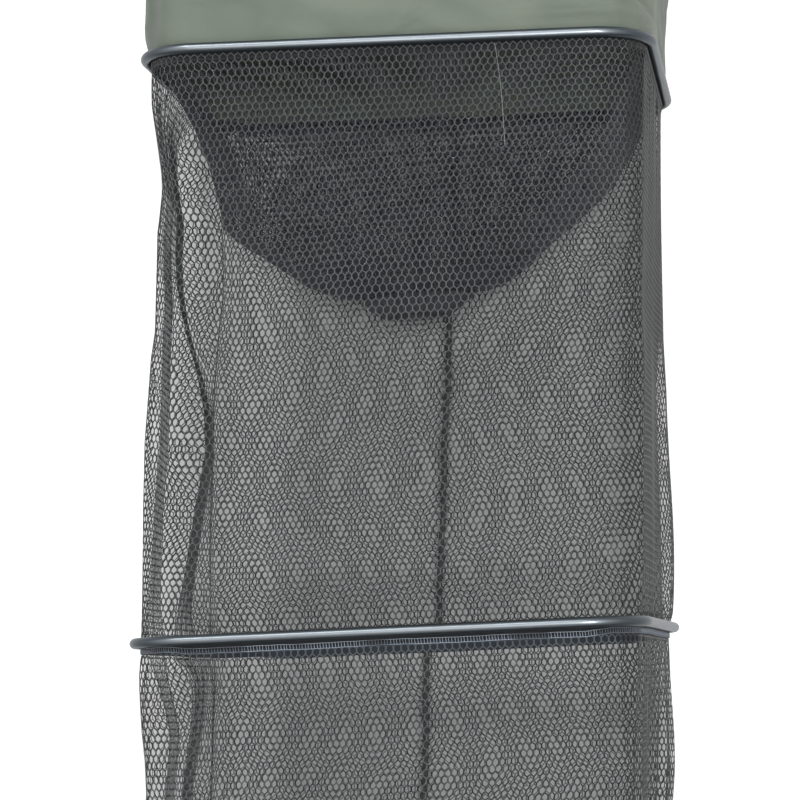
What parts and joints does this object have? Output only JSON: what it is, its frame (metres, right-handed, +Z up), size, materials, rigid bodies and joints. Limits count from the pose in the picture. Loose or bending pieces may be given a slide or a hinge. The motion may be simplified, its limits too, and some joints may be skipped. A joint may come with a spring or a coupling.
{
  "type": "keep net",
  "caption": "Rectangular fishing keep net: slotted aluminium rings, coated collar, small-mesh netting sections, funnel throat, net base and tilting bank-stick connector.",
  "frame": {"origin": "centre of the end face of the connector's threaded stud, which screws down into a bank stick", "axes": "+Z up, against the way the net hangs; -Y from the stud towards the net; +X to the right, along the rings' front bars, seen from the front"},
  "size_m": [0.4594, 0.4026, 1.8838],
  "materials": {
    "satin_aluminium": "satin grey anodised",
    "hem_cord": "braided polyester cord",
    "hem_tape": "woven tape",
    "netting": "knitted small-mesh netting",
    "throat_netting": "darker knitted small-mesh netting",
    "throat_hem": "woven hem band",
    "elastic": "covered elastic cord",
    "coated_cloth": "thin woven cloth with a soft coating",
    "moulded_nylon": "fine moulded texture",
    "knob": "satin moulded",
    "friction_disc": "pressed fibre",
    "stainless_steel": "turned",
    "brass": "turned, threaded"
  },
  "bodies": {
    "arm": {"threaded_stud": "brass", "swivel_arm": "moulded_nylon"},
    "mouth_ring": {"connector_block": "moulded_nylon", "ring_screw_left": "stainless_steel", "ring_screw_right": "stainless_steel", "friction_disc_left": "friction_disc", "friction_disc_right": "friction_disc", "pivot_bolt": "stainless_steel", "knob_washer": "stainless_steel", "mouth_ring_tube": "satin_aluminium", "mouth_ring_hem_cord": "hem_cord", "mouth_ring_hem_tape": "hem_tape", "collar": "coated_cloth"},
    "knob": {"lock_knob": "knob"},
    "ring_2": {"ring_2_tube": "satin_aluminium", "ring_2_hem_cord": "hem_cord", "ring_2_hem_tape": "hem_tape", "net_section_1": "netting", "throat_net": "throat_netting", "throat_hem": "throat_hem", "throat_elastic": "elastic"},
    "ring_3": {"ring_3_tube": "satin_aluminium", "ring_3_hem_cord": "hem_cord", "ring_3_hem_tape": "hem_tape", "net_section_2": "netting"},
    "ring_4": {"ring_4_tube": "satin_aluminium", "ring_4_hem_cord": "hem_cord", "ring_4_hem_tape": "hem_tape", "net_section_3": "netting"},
    "base_ring": {"base_ring_tube": "satin_aluminium", "base_ring_hem_cord": "hem_cord", "base_ring_hem_tape": "hem_tape", "base_net": "netting"}
  },
  "joints": [
    {"name": "angle_tilt", "type": "hinge", "parent": "arm", "child": "mouth_ring", "pos_m": [0, 0, 0.062], "axis": [-1, 0, 0], "range_deg": [0, 60]},
    {"name": "knob_turn", "type": "hinge", "parent": "mouth_ring", "child": "knob", "pos_m": [0, 0, 0.062], "axis": [1, 0, 0], "range_deg": [0, 180]},
    {"name": "ring_2_slide", "type": "slide", "parent": "mouth_ring", "child": "ring_2", "axis": [0, 0, 1], "range_m": [0, 0.334], "deforming": ["collar"]},
    {"name": "ring_3_slide", "type": "slide", "parent": "ring_2", "child": "ring_3", "axis": [0, 0, 1], "range_m": [0, 0.474], "deforming": ["net_section_1", "throat_net", "throat_hem", "throat_elastic"]},
    {"name": "ring_4_slide", "type": "slide", "parent": "ring_3", "child": "ring_4", "axis": [0, 0, 1], "range_m": [0, 0.474], "deforming": ["net_section_2"]},
    {"name": "base_slide", "type": "slide", "parent": "ring_4", "child": "base_ring", "axis": [0, 0, 1], "range_m": [0, 0.474], "deforming": ["net_section_3"]}
  ]
}
